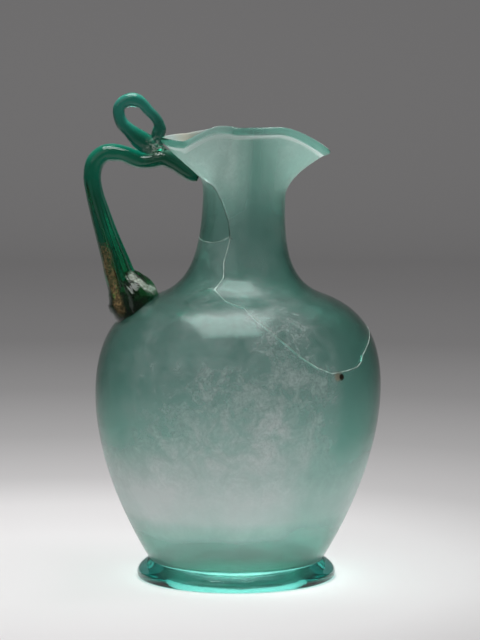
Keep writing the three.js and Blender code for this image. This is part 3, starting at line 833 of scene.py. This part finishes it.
def handle_glass():
    """Deep green, glossy glass, drawn in streaks, with soil in the groove, a crust at the mouth's end and a
    pale stripe along the claw's upper edge; its bend and thumb loop are painted lighter and the rest darker,
    for the light through them.
    """
    material, n = new_material("deep_glass")
    at = n.add("ShaderNodeTexCoord").outputs["Object"]
    drawn = n.add("ShaderNodeMapping", {"Vector": at, "Scale": (1, 1, 0.1)}).outputs[0]
    streaks = n.noise(drawn, 900, 4, 0.7)
    ripples = n.noise(at, 130, 4, 0.55)
    crumbs = n.noise(at, 700, 5, 0.75)
    relief = n.math("ADD", ripples, n.math("MULTIPLY", streaks, 0.35))
    # Painted light: clear glass at the bend and the loop's top, greyer glass elsewhere
    lit_bend_and_loop = n.math("ADD", n.near(at, BEND_LIGHT_SPOT, 0.015), n.near(at, LOOP_LIGHT_SPOT, 0.012), clamp=True)
    bump = n.add("ShaderNodeBump", {"Height": relief, "Strength": 0.3, "Distance": 0.0005})
    glass = n.add("ShaderNodeBsdfPrincipled", {
        "Base Color": n.mix(lit_bend_and_loop, (0.5, 0.54, 0.51, 1), (1, 1, 1, 1)),
        "Roughness": n.span(ripples, 0.3, 0.7, 0.02, 0.06),
        "IOR": 1.42, "Transmission Weight": 1.0, "Normal": bump.outputs[0],
    })
    earth = n.mix(n.span(crumbs, 0.35, 0.65), (0.12, 0.08, 0.035, 1), (0.33, 0.22, 0.11, 1))
    soil = n.add("ShaderNodeBsdfDiffuse", {"Color": earth})
    groove = n.line(at, SOIL_TOP, SOIL_FOOT, 0.0026, ripples)
    groove = n.math("MULTIPLY", groove, n.span(crumbs, 0.3, 0.7, 0.25, 0.75))
    surface = n.shader(groove, glass.outputs[0], soil.outputs[0])
    pale = n.mix(n.span(crumbs, 0.35, 0.65), (0.4, 0.4, 0.33, 1), (0.8, 0.8, 0.75, 1))
    crust = n.add("ShaderNodeBsdfDiffuse", {"Color": pale})
    # A pale, rough stripe in the crust's colour along the claw's upper edge
    edge = n.line(at, *CLAW_EDGE, 0.0016, ripples)
    edge = n.math("MULTIPLY", edge, n.span(crumbs, 0.3, 0.65, 0.25, 0.9))
    surface = n.shader(edge, surface, crust.outputs[0])
    for (x, y, z), radius, amount in CRUSTS:
        spot = n.near(at, (x, y, z), radius, 0.7, ripples)
        spot = n.math("MULTIPLY", spot, n.span(crumbs, 0.46, 0.6, 0, amount))
        surface = n.shader(spot, surface, crust.outputs[0])
    surface = lamps_pass(n, surface, (0.6, 0.85, 0.78, 1))
    volume = n.add("ShaderNodeVolumeAbsorption", {"Color": (0.02, 0.84, 0.73, 1), "Density": 420.0})
    n.add("ShaderNodeOutputMaterial", {"Surface": surface, "Volume": volume.outputs[0]})
    return material


def glue_material():
    """Adhesive in the breaks: pale where it catches the light, dark elsewhere."""
    material, n = new_material("break_glue")
    pale = n.add("ShaderNodeAttribute", attribute_name="pale").outputs["Fac"]
    at = n.add("ShaderNodeTexCoord").outputs["Object"]
    uneven = n.span(n.noise(at, 260, 4, 0.7), 0.35, 0.65, 0.35, 1)
    colour = n.mix(n.math("MULTIPLY", pale, uneven), (0.02, 0.07, 0.05, 1), (0.78, 0.9, 0.84, 1))
    glue = n.add("ShaderNodeBsdfPrincipled", {"Base Color": colour, "Roughness": 0.35})
    surface = lamps_pass(n, glue.outputs[0], (0.8, 0.9, 0.87, 1))
    n.add("ShaderNodeOutputMaterial", {"Surface": surface})
    return material


def glue_bead(name, points, pale_at):
    """A fine bead along a break, just proud of the wall. pale_at gives its paleness, a painted highlight, by
    height.
    """
    path = break_path(points)
    rings = []
    paleness = []
    for i, (point, normal) in enumerate(path):
        before = path[max(i - 1, 0)][0]
        after = path[min(i + 1, len(path) - 1)][0]
        side = np.cross(after - before, normal)
        side /= np.linalg.norm(side)
        rings.append(np.array([
            point + (normal * (math.sin(a) * 0.8 - 0.45) + side * math.cos(a)) * GLUE_RADIUS
            for a in 2 * np.pi * np.arange(GLUE_SIDES) / GLUE_SIDES
        ]))
        pale = max(eased(pale_at, point[2] / MM), eased(SPOUT_SIDE_GLUE, (point[0] - AXIS_X) / MM))
        paleness += [pale] * GLUE_SIDES
    bead = skin(name, rings, [path[0][0], path[-1][0]])
    mark = bead.data.attributes.new("pale", "FLOAT", "POINT")
    mark.data.foreach_set("value", paleness + paleness[:1] + paleness[-1:])
    return bead


def dress(o, node, material):
    o.data.materials.clear()
    o.data.materials.append(material)
    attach(o, "root")
    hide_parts(node)


def build_jug():
    film = weathered_glass()
    foot_glass = clear_glass("foot_glass", (0.1, 0.78, 0.74, 1), 95.0, (0.62, 0.65, 0.64, 1))
    deep_glass = handle_glass()
    glue = glue_material()

    wall = vessel_wall()
    for name, points, closed in (("blade_1", SHOULDER_BREAK, True), ("blade_2", NECK_BREAK, False)):
        blade = break_blade(name, points, closed)
        combine(wall, blade, "DIFFERENCE")
        discard(blade)
    nodes = ("body", "neck_and_mouth", "neck_fragment")
    for node, o in zip(nodes, islands(wall, [f"{node}_glass" for node in nodes])):
        smooth(o)
        weather(o, FRAGMENT_FILM if node == "neck_fragment" else 1.0)
        dress(o, node, film)
        o.visible_shadow = False

    for name, points, pale_at, node in (
        ("shoulder_glue", SHOULDER_BREAK, SHOULDER_GLUE, "body"),
        ("neck_glue", NECK_BREAK, NECK_GLUE, "neck_fragment"),
    ):
        bead = glue_bead(name, points, pale_at)
        smooth(bead)
        bead.data.materials.append(glue)
        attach(bead, "root")

    foot = foot_ring()
    foot.name = "foot_ring_glass"
    smooth(foot)
    dress(foot, "foot_ring", foot_glass)

    vessel_space = filled_vessel(SEAT_GAP)
    handle = drawn_rod("handle_glass", handle_path(), *HANDLE_FINENESS)
    combine(handle, vessel_space, "DIFFERENCE")
    handle_space = drawn_rod("handle_space", handle_path(), *HANDLE_FINENESS, growth=SEAT_GAP)
    loop = drawn_rod("thumb_loop_glass", loop_path(), *LOOP_FINENESS, end=0.5)
    crook = drawn_rod("crook", loop_path(), *LOOP_FINENESS, start=0.5)
    combine(loop, crook, "UNION")
    combine(loop, vessel_space, "DIFFERENCE")
    combine(loop, handle_space, "DIFFERENCE")
    discard(vessel_space, handle_space, crook)
    for o, node in ((handle, "handle"), (loop, "thumb_loop")):
        smooth(o)
        dress(o, node, deep_glass)


# The middle of the painted pool of light on the floor, set to the left of the jug. Distance from it in
# metres, and the floor's painted grey there, a painted falloff of light
LIGHT_POOL_CENTRE = (AXIS_X - 0.08, 0.02, 0)
FLOOR_STOPS = (
    (0, 0.78), (0.1, 0.79), (0.2, 0.715), (0.3, 0.52), (0.48, 0.375), (0.73, 0.267), (1.07, 0.208),
    (1.6, 0.222), (2.5, 0.28),
)
PAPER_TINT = (0.98, 0.985)
FLOOR_FRONT = -2.5
FLOOR_BACK = 2.5
FLOOR_SIDE = 7.0
SWEEP_RADIUS = 0.6
WALL_TOP = 2.6


def backdrop():
    """A seamless sweep of floor and wall, painted pale at the jug and grey behind it: a painted pool of light
    and its falloff.
    """
    outline_points = [(FLOOR_FRONT, 0), (FLOOR_BACK - SWEEP_RADIUS, 0)]
    for i in range(1, SWEEP_STEPS + 1):
        a = math.pi / 2 * i / SWEEP_STEPS
        outline_points.append((
            FLOOR_BACK - SWEEP_RADIUS + SWEEP_RADIUS * math.sin(a), SWEEP_RADIUS * (1 - math.cos(a)),
        ))
    outline_points.append((FLOOR_BACK, WALL_TOP))
    vertices = [(x, y, z) for y, z in outline_points for x in (-FLOOR_SIDE, FLOOR_SIDE)]
    faces = [(2 * i, 2 * i + 1, 2 * i + 3, 2 * i + 2) for i in range(len(outline_points) - 1)]
    mesh = bpy.data.meshes.new("backdrop")
    mesh.from_pydata(vertices, [], faces)
    mesh.polygons.foreach_set("use_smooth", [True] * len(faces))
    sweep = bpy.data.objects.new("backdrop", mesh)
    bpy.context.scene.collection.objects.link(sweep)
    material, n = new_material("backdrop_painted_light_pool")
    at = n.add("ShaderNodeTexCoord").outputs["Object"]
    # Painted pool of light: the floor's colour falls from pale near the jug to grey away from it
    away = n.vector("DISTANCE", at, LIGHT_POOL_CENTRE)
    share = n.math("DIVIDE", away, FLOOR_BACK)
    ramp = n.add("ShaderNodeValToRGB", {0: share})
    stops = ramp.color_ramp.elements
    for i, (distance, grey) in enumerate(FLOOR_STOPS):
        position = distance / FLOOR_BACK
        stop = stops[i] if i < 2 else stops.new(position)
        stop.position = position
        stop.color = (grey, grey * PAPER_TINT[0], grey * PAPER_TINT[1], 1)
    painted_pool = n.add("ShaderNodeBsdfDiffuse", {"Color": ramp.outputs[0]})
    n.add("ShaderNodeOutputMaterial", {"Surface": painted_pool.outputs[0]})
    mesh.materials.append(material)


def softbox(name, at, size, power, target=(0, 0, 0.12)):
    data = bpy.data.lights.new(name, "AREA")
    data.shape = "RECTANGLE"
    data.size, data.size_y = size
    data.energy = power
    lamp = bpy.data.objects.new(name, data)
    lamp.location = at
    lamp.rotation_euler = (Vector(target) - Vector(at)).to_track_quat("-Z", "Y").to_euler()
    bpy.context.scene.collection.objects.link(lamp)


def studio():
    world = bpy.data.worlds.new("studio")
    world.use_nodes = True
    n = Nodes(world.node_tree)
    background = n.add("ShaderNodeBackground", {"Color": (1, 1, 1, 1), "Strength": 0.16})
    n.add("ShaderNodeOutputWorld", {"Surface": background.outputs[0]})
    bpy.context.scene.world = world
    softbox("top", (-0.2, 0.1, 2.3), (2.0, 1.5), 54, (-0.1, 0.1, 0))
    softbox("front_left", (-1.3, -1.5, 1.7), (2.0, 1.6), 6)


# The photograph's camera: its distance, height, downward pitch and focal length in pixels
CAMERA_DISTANCE = 1.5
CAMERA_HEIGHT = 0.2849
CAMERA_PITCH = 5.9
FOCAL_PIXELS = 3000
PHOTO_HEIGHT = 640
SENSOR = 36.0
FOOT_PIXEL_OFFSET = 4


def photo_camera():
    data = bpy.data.cameras.new("photo_camera")
    data.sensor_width = SENSOR
    data.lens = SENSOR * FOCAL_PIXELS / PHOTO_HEIGHT
    data.clip_end = 50
    camera = bpy.data.objects.new("photo_camera", data)
    aside = FOOT_PIXEL_OFFSET * CAMERA_DISTANCE / FOCAL_PIXELS
    camera.location = (AXIS_X + aside, -CAMERA_DISTANCE, CAMERA_HEIGHT)
    camera.rotation_euler = (math.radians(90 - CAMERA_PITCH), 0, 0)
    bpy.context.scene.collection.objects.link(camera)
    bpy.context.scene.camera = camera


bpy.context.scene.view_settings.view_transform = "Standard"
photo_camera()
studio()
backdrop()
build_jug()
